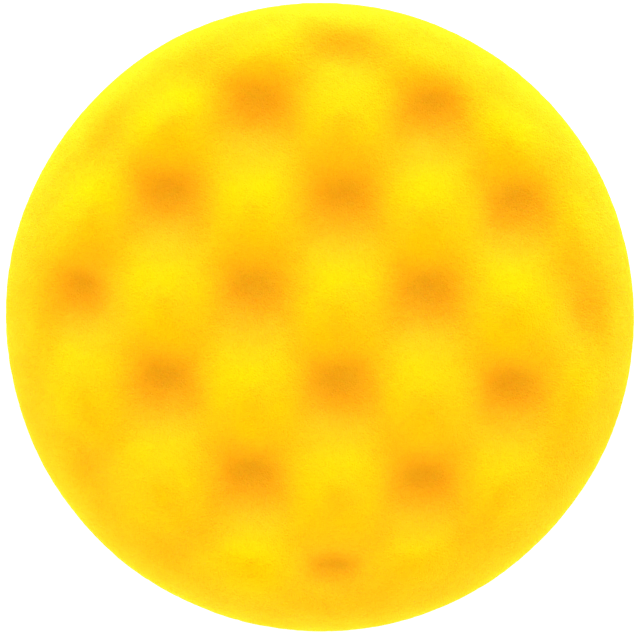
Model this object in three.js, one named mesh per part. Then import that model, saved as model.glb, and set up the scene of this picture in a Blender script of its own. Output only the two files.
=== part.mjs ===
// A 150 mm waffle foam polishing pad for a car polisher.
//
// The pad is a laminate of three discs, cut out of one bonded sheet: an open-cell foam body with an
// egg-crate ("waffle") working face, a thin hot-melt film, and the knitted loop cloth that the hooks
// of a polisher's backing plate grip.
//
// Units are millimetres. The origin is the centre of the loop cloth's outer face. +Z is the pad's
// spin axis, from the cloth towards the working face, and the waffle's rows run along X.

import * as THREE from "three";

// ---- Driving dimensions -------------------------------------------------------------------------

const padDiameter = 150; // the foam body, at its widest
const foamHeight = 25; // from the foam's bonded face to the tops of the waffle's peaks
const clothThickness = 1.8; // knitted ground and raised loops together
const filmThickness = 0.3;
const filmMargin = 0.3; // how far the molten film has crept out past the cloth's edge

const waffleDepth = 10; // from a peak's top down to a valley's floor
const halfPitchX = 20.63; // from a peak to the next valley along a row
const halfPitchY = 21.8; // from a row to the next one
const wafflePhaseX = 4.76; // the peak nearest the pad's centre
const wafflePhaseY = 1.9;
const waffleTurn = THREE.MathUtils.degToRad(1.15); // the sheet was laid slightly askew under the die

const shoulderWidth = 18; // the band round the working face that rolls over to the side
const shoulderDrop = 10; // how far that band has come down where it meets the side
const plainRim = 4; // the outermost part of the shoulder, which the waffle doesn't reach
const rimLevel = 4; // how far below the peaks' tops the waffle runs out into the plain rim
const backEdgeRadius = 0.8; // the foam's lower edge, which springs out past the film after die cutting

// ---- How finely the foam is divided -------------------------------------------------------------

const segments = 96; // round the axis
const faceRings = 21; // from the centre to the start of the shoulder
const shoulderRings = 8;
const backEdgeRings = 2;

// ---- Heights and radii that follow from them ----------------------------------------------------

const foamRadius = padDiameter / 2;
const filmRadius = foamRadius - backEdgeRadius;
const clothRadius = filmRadius - filmMargin;
const filmBottom = clothThickness;
const foamBottom = filmBottom + filmThickness;
const foamTop = foamBottom + foamHeight;
const shoulderStart = foamRadius - shoulderWidth;
const plainRimStart = foamRadius - plainRim;

// ---- The waffle ---------------------------------------------------------------------------------

// The egg-crate wave at a point: 1 on a peak, -1 in a valley, 0 on the saddles between them.
function waffleWave(x, y) {
  const along = x * Math.cos(waffleTurn) - y * Math.sin(waffleTurn) - wafflePhaseX;
  const across = x * Math.sin(waffleTurn) + y * Math.cos(waffleTurn) - wafflePhaseY;
  return Math.cos((Math.PI * along) / halfPitchX) * Math.cos((Math.PI * across) / halfPitchY);
}

// How far the shoulder's elliptical roll has come down at a distance from the axis.
function shoulderFall(radius) {
  const share = Math.min(Math.max((radius - shoulderStart) / shoulderWidth, 0), 1);
  return shoulderDrop * (1 - Math.sqrt(1 - share * share));
}

// The height of the working face at a point. Across the shoulder the waffle runs out.
function faceHeight(x, y) {
  const radius = Math.hypot(x, y);
  const waffle = (waffleDepth / 2) * (1 - waffleWave(x, y));
  const runOut = THREE.MathUtils.smoothstep(radius, shoulderStart, plainRimStart);
  return foamTop - THREE.MathUtils.lerp(waffle, rimLevel, runOut) - shoulderFall(radius);
}

// ---- The three discs ----------------------------------------------------------------------------

// A plain disc that stands on the given height.
function disc(name, radius, bottom, thickness, material) {
  const geometry = new THREE.CylinderGeometry(radius, radius, thickness, segments);
  const mesh = new THREE.Mesh(geometry, material);
  mesh.name = name;
  mesh.rotation.x = Math.PI / 2; // the cylinder's axis from Y to Z
  mesh.position.z = bottom + thickness / 2;
  return mesh;
}

// The foam's outline from the middle of its bonded face to the foot of its side.
function backOutline() {
  const outline = [new THREE.Vector2(0, foamBottom)];
  for (let ring = 0; ring <= backEdgeRings; ring++) {
    const turn = (ring / backEdgeRings) * (Math.PI / 2);
    const radius = foamRadius - backEdgeRadius * (1 - Math.sin(turn));
    outline.push(new THREE.Vector2(radius, foamBottom + backEdgeRadius * (1 - Math.cos(turn))));
  }
  return outline;
}

// The radii of the working face's rings, from the side in to the axis.
function faceRadii() {
  const radii = [];
  for (let ring = 0; ring < shoulderRings; ring++) {
    const turn = (ring / shoulderRings) * (Math.PI / 2);
    radii.push(shoulderStart + shoulderWidth * Math.cos(turn));
  }
  for (let ring = 0; ring <= faceRings; ring++) {
    radii.push(shoulderStart * (1 - ring / faceRings));
  }
  return radii;
}

// The foam body: a turned blank whose working face is then raised and lowered into the waffle.
function waffleFoam(material) {
  const back = backOutline();
  const face = faceRadii().map((radius) => new THREE.Vector2(radius, foamTop));
  const geometry = new THREE.LatheGeometry([...back, ...face], segments);
  geometry.rotateX(Math.PI / 2); // the lathe's axis from Y to Z
  const position = geometry.getAttribute("position");
  const ringPoints = back.length + face.length;
  for (let i = 0; i < position.count; i++) {
    const onFace = i % ringPoints >= back.length;
    if (onFace) position.setZ(i, faceHeight(position.getX(i), position.getY(i)));
  }
  const mesh = new THREE.Mesh(geometry, material);
  mesh.name = "waffle_foam";
  return mesh;
}

// ---- The materials ------------------------------------------------------------------------------

const foamMaterial = new THREE.MeshStandardMaterial({ color: 0xffdc14, roughness: 0.95, metalness: 0 });
const filmMaterial = new THREE.MeshStandardMaterial({ color: 0xe8dcae, roughness: 0.4, metalness: 0 });
const clothMaterial = new THREE.MeshStandardMaterial({ color: 0xefeee8, roughness: 0.95, metalness: 0 });

// ---- The pad ------------------------------------------------------------------------------------

const pad = new THREE.Group();
pad.add(disc("loop_cloth", clothRadius, 0, clothThickness, clothMaterial));
pad.add(disc("bond_film", filmRadius, filmBottom, filmThickness, filmMaterial));
pad.add(waffleFoam(foamMaterial));

export default pad;
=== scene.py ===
# A 150 mm waffle foam polishing pad, lying on its loop cloth on a white table and seen from above.
# The foam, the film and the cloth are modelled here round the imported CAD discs. All sizes are in metres.
import math
import random

import bmesh
import bpy
from mathutils import Matrix, Vector, noise


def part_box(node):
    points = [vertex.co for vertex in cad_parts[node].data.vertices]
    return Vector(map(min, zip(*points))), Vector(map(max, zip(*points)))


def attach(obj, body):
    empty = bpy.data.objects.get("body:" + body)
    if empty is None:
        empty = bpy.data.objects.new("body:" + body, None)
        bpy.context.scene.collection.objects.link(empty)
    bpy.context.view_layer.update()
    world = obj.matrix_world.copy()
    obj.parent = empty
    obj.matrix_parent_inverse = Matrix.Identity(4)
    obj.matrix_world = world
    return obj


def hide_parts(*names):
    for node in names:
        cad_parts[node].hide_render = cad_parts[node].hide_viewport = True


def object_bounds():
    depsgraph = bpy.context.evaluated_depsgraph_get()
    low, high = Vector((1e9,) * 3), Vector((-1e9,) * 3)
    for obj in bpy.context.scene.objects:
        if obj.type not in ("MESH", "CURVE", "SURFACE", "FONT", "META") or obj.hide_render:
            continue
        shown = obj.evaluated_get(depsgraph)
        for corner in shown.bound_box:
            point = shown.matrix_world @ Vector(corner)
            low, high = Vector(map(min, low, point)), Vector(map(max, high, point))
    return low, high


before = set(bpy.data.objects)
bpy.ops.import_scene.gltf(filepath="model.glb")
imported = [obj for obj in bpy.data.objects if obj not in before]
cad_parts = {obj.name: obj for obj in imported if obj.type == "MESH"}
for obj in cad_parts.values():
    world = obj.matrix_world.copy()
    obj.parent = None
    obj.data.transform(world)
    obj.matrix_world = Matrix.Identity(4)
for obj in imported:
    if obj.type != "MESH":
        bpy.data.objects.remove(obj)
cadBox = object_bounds()
millimetre = 0.001


class Value:
    # one socket of a node tree; arithmetic on it adds Math nodes
    def __init__(self, shader, socket):
        self.shader = shader
        self.socket = socket

    def math(self, operation, *others):
        inputs = dict(enumerate([self, *others]))
        return self.shader.add("Math", {"operation": operation}, inputs)

    def __add__(self, other):
        return self.math("ADD", other)

    __radd__ = __add__

    def __mul__(self, other):
        return self.math("MULTIPLY", other)

    __rmul__ = __mul__

    def __sub__(self, other):
        return self.math("SUBTRACT", other)

    def __rsub__(self, other):
        return self.shader.add("Math", {"operation": "SUBTRACT"}, {0: other, 1: self})


class Shader:
    # a material, whose nodes all come from add()
    def __init__(self, name):
        self.material = bpy.data.materials.new(name)
        self.material.use_nodes = True
        self.tree = self.material.node_tree
        self.surface = self.tree.nodes["Principled BSDF"]

    def feed(self, socket, value):
        if isinstance(value, Value):
            self.tree.links.new(value.socket, socket)
        else:
            socket.default_value = value

    def add(self, kind, settings=None, inputs=None, output=0):
        node = self.tree.nodes.new("ShaderNode" + kind)
        for name, value in (settings or {}).items():
            setattr(node, name, value)
        for name, value in (inputs or {}).items():
            self.feed(node.inputs[name], value)
        return Value(self, node.outputs[output])

    def set(self, inputs):
        for name, value in inputs.items():
            self.feed(self.surface.inputs[name], value)

    def place(self):
        return self.add("TexCoord", output="Object")

    def upward(self):
        return self.add("SeparateXYZ", {}, {0: self.place()}, "Z")

    def noise(self, size, detail=2.0):
        return self.add("TexNoise", {}, {"Vector": self.place(), "Scale": 1 / size, "Detail": detail}, "Fac")

    def cells(self, size, feature="F1"):
        inputs = {"Vector": self.place(), "Scale": 1 / size}
        return self.add("TexVoronoi", {"feature": feature}, inputs, "Distance")

    def range(self, value, low, high, newLow=0.0, newHigh=1.0):
        settings = {"interpolation_type": "SMOOTHSTEP"}
        inputs = {"Value": value, "From Min": low, "From Max": high, "To Min": newLow, "To Max": newHigh}
        return self.add("MapRange", settings, inputs)

    def mix(self, amount, first, second):
        node = self.add("Mix", {"data_type": "RGBA"}, {0: amount}, 2).socket.node
        self.feed(node.inputs[6], first)
        self.feed(node.inputs[7], second)
        return Value(self, node.outputs[2])

    def bump(self, height, distance, strength):
        return self.add("Bump", {}, {"Height": height, "Distance": distance, "Strength": strength}, "Normal")


def colour(red, green, blue):
    return (red, green, blue, 1.0)


def sheetToDisc(point):
    # a point of the square from -1 to 1, as a point of the unit disc; squares become circles
    x, y = point.x, point.y
    if x == 0 and y == 0:
        return Vector((0, 0))
    if abs(x) >= abs(y):
        reach, bearing = x, math.pi / 4 * y / x
    else:
        reach, bearing = y, math.pi / 2 - math.pi / 4 * x / y
    return Vector((reach * math.cos(bearing), reach * math.sin(bearing)))


def extrudeRim(work, rim):
    # extrudes an open rim in place; gives the new rim's edges and points
    made = bmesh.ops.extrude_edge_only(work, edges=rim)["geom"]
    edges = [part for part in made if isinstance(part, bmesh.types.BMEdge) and part.is_boundary]
    points = [part for part in made if isinstance(part, bmesh.types.BMVert)]
    return edges, points


def finishMesh(work, name, material):
    # turns the faces outwards and makes the object
    bmesh.ops.recalc_face_normals(work, faces=work.faces)
    mesh = bpy.data.meshes.new(name)
    work.to_mesh(mesh)
    work.free()
    for polygon in mesh.polygons:
        polygon.use_smooth = True
    mesh.materials.append(material)
    piece = bpy.data.objects.new(name, mesh)
    bpy.context.scene.collection.objects.link(piece)
    return piece


# the foam body: a disc laid over the waffle, its side drawn down from the rim
foam = {
    "faceSteps": 266,  # faces across the working face
    "sideSteps": 21,  # faces down the side
    "halfPitchX": 20.63 * millimetre,  # from a peak to the next valley
    "halfPitchY": 21.8 * millimetre,  # between neighbouring rows
    "peakX": 4.76 * millimetre,  # the peak nearest the middle
    "peakY": 1.9 * millimetre,
    "turn": math.radians(1.15),
    "depth": 10 * millimetre,
    "shoulderWidth": 18 * millimetre,
    "shoulderDrop": 10 * millimetre,
    "plainRim": 4 * millimetre,  # the outer part of the shoulder, past the end of the waffle
    "rimLevel": 4 * millimetre,  # how far below the peaks the waffle runs out
    "backEdge": 0.8 * millimetre,  # the round at the foot of the side
    "sidePull": 0.7 * millimetre,  # how far the die-cut side is drawn in at its middle
    "waviness": 0.25 * millimetre,  # slow unevenness of the cut, and its length
    "wavinessLength": 26 * millimetre,
    "tearing": 0.07 * millimetre,  # torn skin, its length, and a shift that sets it off from the waves
    "tearingLength": 2.6 * millimetre,
    "tearingShift": Vector((7, 3, 5)),
    "pores": 0.09 * millimetre,  # how deep the open pores are, and how far apart
    "poreSize": 1.25 * millimetre,
    "poreReach": 0.6,  # how wide a pore is, as a share of the distance between two
    "cellSize": 0.6 * millimetre,  # the finer cells, which only the material shows
}


def foamMaterial():
    paint = Shader("foam_yellow")
    openCells = paint.cells(foam["cellSize"])
    struts = paint.cells(foam["cellSize"], "DISTANCE_TO_EDGE")
    fineCells = paint.cells(0.42 * millimetre)
    pore = 1 - paint.range(openCells, 0.12, 0.52)
    web = paint.range(struts, 0.02, 0.16)
    patches = paint.noise(9 * millimetre, 3.0)
    broad = paint.noise(34 * millimetre, 2.0)
    # painted shade: lower down, towards the valley floors and on down the side, the yellow turns a little
    # less green and more blue, standing for the shaded light bounced between the valley walls
    paintedValleyShade = 1 - paint.range(paint.upward(), 17 * millimetre, 25 * millimetre)
    light = paint.mix(paintedValleyShade, colour(1.0, 0.49, 0.001), colour(1.0, 0.48, 0.011))
    deep = colour(1.0, 0.40, 0.006)
    base = paint.mix(paint.range(patches * 0.6 + broad * 0.4, 0.35, 0.65, 0.0, 0.45), light, deep)
    # the side is cut through the cells, so it is a deeper yellow there, and the painted shade in its open
    # pores is stronger
    cutSide = 1 - paint.range(paint.upward(), 9 * millimetre, 13 * millimetre)
    base = paint.mix(cutSide * 0.6, base, colour(0.97, 0.30, 0.003))
    # painted shade in the pores: open pores get a deeper orange, standing for the shade inside them, more on
    # the side than on the face
    base = paint.mix(pore * (cutSide * 0.4 + 0.2), base, colour(0.96, 0.34, 0.004))
    relief = (1 - pore) * 0.62 + (1 - web) * 0.22 + fineCells * 0.22 + paint.noise(0.3 * millimetre) * 0.1
    paint.set({
        "Base Color": base,
        "Roughness": paint.range(pore, 0.0, 1.0, 0.86, 0.97),
        "Specular IOR Level": 0.02,
        "Subsurface Weight": 0.35,
        "Subsurface Radius": (1.0, 0.45, 0.04),
        "Subsurface Scale": 5 * millimetre,
        "Normal": paint.bump(relief, 0.25 * millimetre, 0.5),
    })
    return paint.material


def waffleWave(x, y):
    # 1 on a peak, -1 in a valley
    along = x * math.cos(foam["turn"]) - y * math.sin(foam["turn"]) - foam["peakX"]
    across = x * math.sin(foam["turn"]) + y * math.cos(foam["turn"]) - foam["peakY"]
    return math.cos(math.pi * along / foam["halfPitchX"]) * math.cos(math.pi * across / foam["halfPitchY"])


def foamFacePoint(share, radius, top):
    # where a point of the unit disc lies on the waffle, whose edge rolls over to the side
    flat = radius - foam["shoulderWidth"]
    run = share.length * (flat + math.pi / 2 * foam["shoulderWidth"])
    turn = max(run - flat, 0) / foam["shoulderWidth"]
    reach = min(run, flat) + foam["shoulderWidth"] * math.sin(turn)
    fall = foam["shoulderDrop"] * (1 - math.cos(turn))
    runOut = min(max((reach - flat) / (foam["shoulderWidth"] - foam["plainRim"]), 0), 1)
    runOut = runOut * runOut * (3 - 2 * runOut)
    place = share.normalized() * reach if share.length else share
    waffle = foam["depth"] / 2 * (1 - waffleWave(place.x, place.y))
    fall += waffle + (foam["rimLevel"] - waffle) * runOut
    return Vector((place.x, place.y, top - fall))


def roughen(work, bottom):
    # moves the foam's open surface in and out: sheet waviness, torn skin and open cells
    work.normal_update()
    moves = []
    for vert in work.verts:
        p = vert.co
        if p.z < bottom + 1.5 * foam["backEdge"]:
            continue
        wave = noise.noise(p / foam["wavinessLength"]) * foam["waviness"]
        torn = noise.noise(p / foam["tearingLength"] + foam["tearingShift"]) * foam["tearing"]
        nearest = noise.voronoi(p / foam["poreSize"])[0][0]
        pore = (min(nearest, foam["poreReach"]) - foam["poreReach"]) * foam["pores"] / foam["poreReach"]
        moves.append((vert, vert.normal * (wave + torn + pore)))
    for vert, move in moves:
        vert.co += move


def makeFoam():
    low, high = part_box("waffle_foam")
    radius = (high.x - low.x) / 2
    work = bmesh.new()
    bmesh.ops.create_grid(work, x_segments=foam["faceSteps"], y_segments=foam["faceSteps"], size=1)
    for vert in work.verts:
        vert.co = foamFacePoint(sheetToDisc(vert.co), radius, high.z)
    rim = [edge for edge in work.edges if edge.is_boundary]
    sideFoot = low.z + foam["backEdge"]
    for step in range(1, foam["sideSteps"] + 1):
        rim, points = extrudeRim(work, rim)
        share = step / foam["sideSteps"]
        for vert in points:
            faceHeight = foamFacePoint(vert.co.to_2d().normalized(), radius, high.z).z
            reach = radius - foam["sidePull"] * math.sin(math.pi * share)
            vert.co = (vert.co.to_2d().normalized() * reach).to_3d()
            vert.co.z = faceHeight + (sideFoot - faceHeight) * share
    for turn in (30, 60, 90):
        rim, points = extrudeRim(work, rim)
        angle = math.radians(turn)
        for vert in points:
            reach = radius - foam["backEdge"] * (1 - math.cos(angle))
            vert.co = (vert.co.to_2d().normalized() * reach).to_3d()
            vert.co.z = sideFoot - foam["backEdge"] * math.sin(angle)
    bmesh.ops.contextual_create(work, geom=rim)
    bmesh.ops.recalc_face_normals(work, faces=work.faces)
    roughen(work, low.z)
    piece = finishMesh(work, "foam_body", foamMaterial())
    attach(piece, "root")
    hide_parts("waffle_foam")


makeFoam()
print("foam made")


# the hot-melt film between the foam and the cloth, of which only the edge shows
film = {
    "steps": 480,  # round the edge
    "flat": 0.97,  # share of the radius that stays flat, inside the bead
    "bead": 0.10 * millimetre,  # how far the squeezed-out edge stands past the disc
    "creep": 0.22 * millimetre,  # how much that edge wanders
    "creepLength": 4 * millimetre,
}


def filmMaterial():
    paint = Shader("film_clear_amber")
    haze = paint.noise(3 * millimetre, 3.0)
    grain = paint.noise(0.5 * millimetre, 2.0)
    base = paint.mix(haze, colour(0.80, 0.62, 0.24), colour(0.90, 0.78, 0.45))
    paint.set({
        "Base Color": base,
        "Roughness": paint.range(haze, 0.3, 0.7, 0.32, 0.5),
        "Subsurface Weight": 0.3,
        "Subsurface Radius": (1.0, 0.8, 0.4),
        "Subsurface Scale": 1 * millimetre,
        "Normal": paint.bump(grain, 0.05 * millimetre, 0.5),
    })
    return paint.material


def makeFilm():
    low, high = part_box("bond_film")
    radius = (high.x - low.x) / 2
    middle, half = (low.z + high.z) / 2, (high.z - low.z) / 2
    work = bmesh.new()
    flat = radius * film["flat"]
    profile = [(0, low.z), (flat, low.z)]
    for turn in range(-90, 91, 30):
        angle = math.radians(turn)
        reach = radius - half + (film["bead"] + half) * math.cos(angle)
        profile.append((reach, middle + half * math.sin(angle)))
    profile += [(flat, high.z), (0, high.z)]
    points = [work.verts.new((x, 0, z)) for x, z in profile]
    edges = [work.edges.new(pair) for pair in zip(points, points[1:])]
    bmesh.ops.spin(work, geom=points + edges, cent=(0, 0, 0), axis=(0, 0, 1), angle=2 * math.pi,
                   steps=film["steps"], use_merge=True)
    bmesh.ops.remove_doubles(work, verts=work.verts, dist=1e-7)
    for vert in work.verts:
        if vert.co.to_2d().length > flat * 1.01:
            bearing = vert.co.to_2d().normalized()
            wander = noise.noise((bearing * radius / film["creepLength"]).to_3d()) * film["creep"]
            vert.co += (bearing * wander).to_3d()
    piece = finishMesh(work, "film_disc", filmMaterial())
    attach(piece, "root")
    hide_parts("bond_film")
    return piece


filmDisc = makeFilm()
print("film made")


# the loop cloth: a knitted ground, and a pile of loops that reaches down to the table
cloth = {
    "groundSteps": 190,
    "groundThickness": 0.5 * millimetre,
    "ribPitch": 2.4 * millimetre,
    "ribHeight": 0.08 * millimetre,
    "sagLength": 9 * millimetre,
    "wale": 0.8 * millimetre,  # the knit's stitches, across and along
    "course": 0.6 * millimetre,
    "loopPitch": 1.62 * millimetre,
    "loopWidth": 1.5 * millimetre,
    "loopHeight": 1.32 * millimetre,
    "jitter": 0.28,  # how far a loop may stray, as a share of the pitch
    "lean": 0.35,
    "shortest": 0.72,
    "yarn": 0.2 * millimetre,
    "edgeMargin": 0.5 * millimetre,
    "seed": 14,
}


def clothMaterial(name, light, shade):
    paint = Shader(name)
    fibres = paint.noise(0.25 * millimetre, 3.0)
    soil = paint.noise(14 * millimetre, 3.0)
    base = paint.mix(paint.range(fibres, 0.3, 0.7), shade, light)
    base = paint.mix(paint.range(soil, 0.45, 0.75, 0.0, 0.3), base, shade)
    paint.set({
        "Base Color": base,
        "Roughness": paint.range(fibres, 0.2, 0.8, 0.75, 0.95),
        "Sheen Weight": 0.25,
        "Sheen Roughness": 0.4,
        "Specular IOR Level": 0.2,
        "Subsurface Weight": 0.1,
        "Subsurface Scale": 0.5 * millimetre,
        "Normal": paint.bump(fibres, 0.06 * millimetre, 0.7),
    })
    return paint.material


def groundMaterial():
    paint = Shader("cloth_ground")
    place = paint.add("SeparateXYZ", {}, {0: paint.place()})
    across = Value(paint, place.socket.node.outputs["X"])
    along = Value(paint, place.socket.node.outputs["Y"])
    wales = (across * (2 * math.pi / cloth["wale"])).math("SINE")
    courses = (along * (2 * math.pi / cloth["course"])).math("SINE")
    knit = wales * courses * 0.5 + 0.5
    fibres = paint.noise(0.2 * millimetre, 3.0)
    base = paint.mix(knit * 0.6 + fibres * 0.4, colour(0.50, 0.49, 0.46), colour(0.78, 0.77, 0.73))
    paint.set({
        "Base Color": base,
        "Roughness": paint.range(fibres, 0.2, 0.8, 0.8, 0.95),
        "Specular IOR Level": 0.2,
        "Normal": paint.bump(knit + fibres * 0.4, 0.12 * millimetre, 0.8),
    })
    return paint.material


def makeGround():
    low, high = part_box("loop_cloth")
    radius = (high.x - low.x) / 2
    work = bmesh.new()
    bmesh.ops.create_grid(work, x_segments=cloth["groundSteps"], y_segments=cloth["groundSteps"], size=1)
    face = high.z - cloth["groundThickness"]
    for vert in work.verts:
        place = sheetToDisc(vert.co) * radius
        rib = math.cos(2 * math.pi * place.x / cloth["ribPitch"]) * cloth["ribHeight"] / 2
        sag = noise.noise((place / cloth["sagLength"]).to_3d()) * cloth["ribHeight"] / 2
        vert.co = (place.x, place.y, face + rib + sag)
    rim = [edge for edge in work.edges if edge.is_boundary]
    rim, points = extrudeRim(work, rim)
    for vert in points:
        vert.co.z = high.z
    bmesh.ops.contextual_create(work, geom=rim)
    piece = finishMesh(work, "loop_cloth_ground", groundMaterial())
    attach(piece, "root")
    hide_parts("loop_cloth")
    return piece, radius, low.z, face


def loopShape():
    # one open loop of yarn, standing down from the origin: three sides, four bends
    work = bmesh.new()
    bmesh.ops.create_circle(work, segments=3, radius=cloth["yarn"] / 2)
    start = Matrix.Translation((cloth["loopWidth"] / 2 - cloth["yarn"] / 2, 0, 0))
    bmesh.ops.transform(work, matrix=start, verts=work.verts)
    bmesh.ops.spin(work, geom=work.verts[:] + work.edges[:], cent=(0, 0, 0), axis=(0, 1, 0),
                   angle=math.pi, steps=4)
    stretch = cloth["loopHeight"] / (cloth["loopWidth"] / 2)
    for vert in work.verts:
        vert.co.z *= stretch
    bmesh.ops.holes_fill(work, edges=work.edges, sides=3)
    bmesh.ops.recalc_face_normals(work, faces=work.faces)
    mesh = bpy.data.meshes.new("one_loop")
    work.to_mesh(mesh)
    work.free()
    return mesh


def makePile(radius, tip, root):
    # loops in staggered rows, each turned and leant its own way, pressed flat where they meet the table
    rng = random.Random(cloth["seed"])
    loop = loopShape()
    work = bmesh.new()
    reach = radius - cloth["edgeMargin"] - cloth["loopWidth"] / 2
    rows = int(reach / (cloth["loopPitch"] * math.sqrt(3) / 2))
    count = int(reach / cloth["loopPitch"])
    for row in range(-rows, rows + 1):
        y = row * cloth["loopPitch"] * math.sqrt(3) / 2
        for column in range(-count, count + 1):
            x = (column + row % 2 / 2) * cloth["loopPitch"]
            jitter = Vector((rng.uniform(-1, 1), rng.uniform(-1, 1))) * cloth["loopPitch"] * cloth["jitter"]
            turn, lean = rng.uniform(0, math.pi), rng.gauss(0, cloth["lean"])
            tall = rng.uniform(cloth["shortest"], 1.0)
            if math.hypot(x + jitter.x, y + jitter.y) > reach:
                continue
            place = (Matrix.Translation((x + jitter.x, y + jitter.y, root))
                     @ Matrix.Rotation(turn, 4, "Z")
                     @ Matrix.Rotation(lean, 4, "X")
                     @ Matrix.Diagonal((1, 1, tall, 1)))
            copy = loop.copy()
            copy.transform(place)
            work.from_mesh(copy)
            bpy.data.meshes.remove(copy)
    for vert in work.verts:
        vert.co.z = max(vert.co.z, tip)
    material = clothMaterial("cloth_loops", colour(0.90, 0.89, 0.85), colour(0.66, 0.65, 0.61))
    piece = finishMesh(work, "loop_cloth_pile", material)
    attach(piece, "root")
    return piece


ground, clothRadius, pileTip, pileRoot = makeGround()
pile = makePile(clothRadius, pileTip, pileRoot)
print("cloth made,", len(pile.data.polygons), "loop faces")


# a white table lit from below, one soft lamp from the top of the view, and four low ones all round
studio = {
    "tableSize": 6.0,
    "tableColour": colour(0.92, 0.92, 0.92),
    "tableGlow": 0.5,  # lit from below, like a shooting table, so that no shadow shows
    "aim": (0, 0, 20 * millimetre),  # where the lamps point, inside the foam
    "keyPlace": (0.0, 0.9, 0.5),
    "keySize": 0.5,
    "keyPower": 9.4,
    "ringDistance": 0.9,
    "ringHeight": 0.12,
    "ringSize": (0.7, 0.2),
    "ringPower": (4.2, 1.6, 4.2, 5.2),  # right, top, left and bottom
    "skyStrength": 0.84,
}


def makeTable():
    work = bmesh.new()
    bmesh.ops.create_grid(work, x_segments=1, y_segments=1, size=studio["tableSize"] / 2)
    paint = Shader("table_white")
    paint.set({
        "Base Color": studio["tableColour"],
        "Roughness": 0.9,
        "Specular IOR Level": 0.0,
        "Emission Color": colour(1, 1, 1),
        "Emission Strength": studio["tableGlow"],
    })
    finishMesh(work, "table", paint.material)


def addLamp(name, place, size, power):
    lamp = bpy.data.lights.new(name, "AREA")
    lamp.shape = "DISK" if size[0] == size[1] else "RECTANGLE"
    lamp.size, lamp.size_y = size
    lamp.energy = power
    holder = bpy.data.objects.new(name, lamp)
    holder.location = place
    holder.rotation_mode = "QUATERNION"
    holder.rotation_quaternion = (Vector(studio["aim"]) - Vector(place)).to_track_quat("-Z", "Y")
    bpy.context.scene.collection.objects.link(holder)


def makeLight():
    addLamp("key", studio["keyPlace"], (studio["keySize"],) * 2, studio["keyPower"])
    for number, power in enumerate(studio["ringPower"]):
        bearing = math.pi / 2 * number
        place = (math.cos(bearing) * studio["ringDistance"], math.sin(bearing) * studio["ringDistance"],
                 studio["ringHeight"])
        addLamp("ring_" + str(number + 1), place, studio["ringSize"], power)
    world = bpy.data.worlds.new("studio")
    world.use_nodes = True
    sky = world.node_tree.nodes["Background"]
    sky.inputs["Color"].default_value = colour(1, 1, 1)
    sky.inputs["Strength"].default_value = studio["skyStrength"]
    bpy.context.scene.world = world


camera = {
    "distance": 1.2,  # straight above the foam
    "level": 20 * millimetre,  # the height at which the pad fills its share of the view
    "padShare": 0.9875,
    "sensor": 36.0,
}


def makeCamera():
    low, high = cadBox
    data = bpy.data.cameras.new("camera")
    data.sensor_width = camera["sensor"]
    data.lens = camera["sensor"] * camera["distance"] * camera["padShare"] / (high.x - low.x)
    holder = bpy.data.objects.new("camera", data)
    holder.location = (0, 0, camera["level"] + camera["distance"])
    bpy.context.scene.collection.objects.link(holder)
    bpy.context.scene.camera = holder


makeTable()
makeLight()
makeCamera()
bpy.context.scene.view_settings.view_transform = "Standard"
print("studio made")
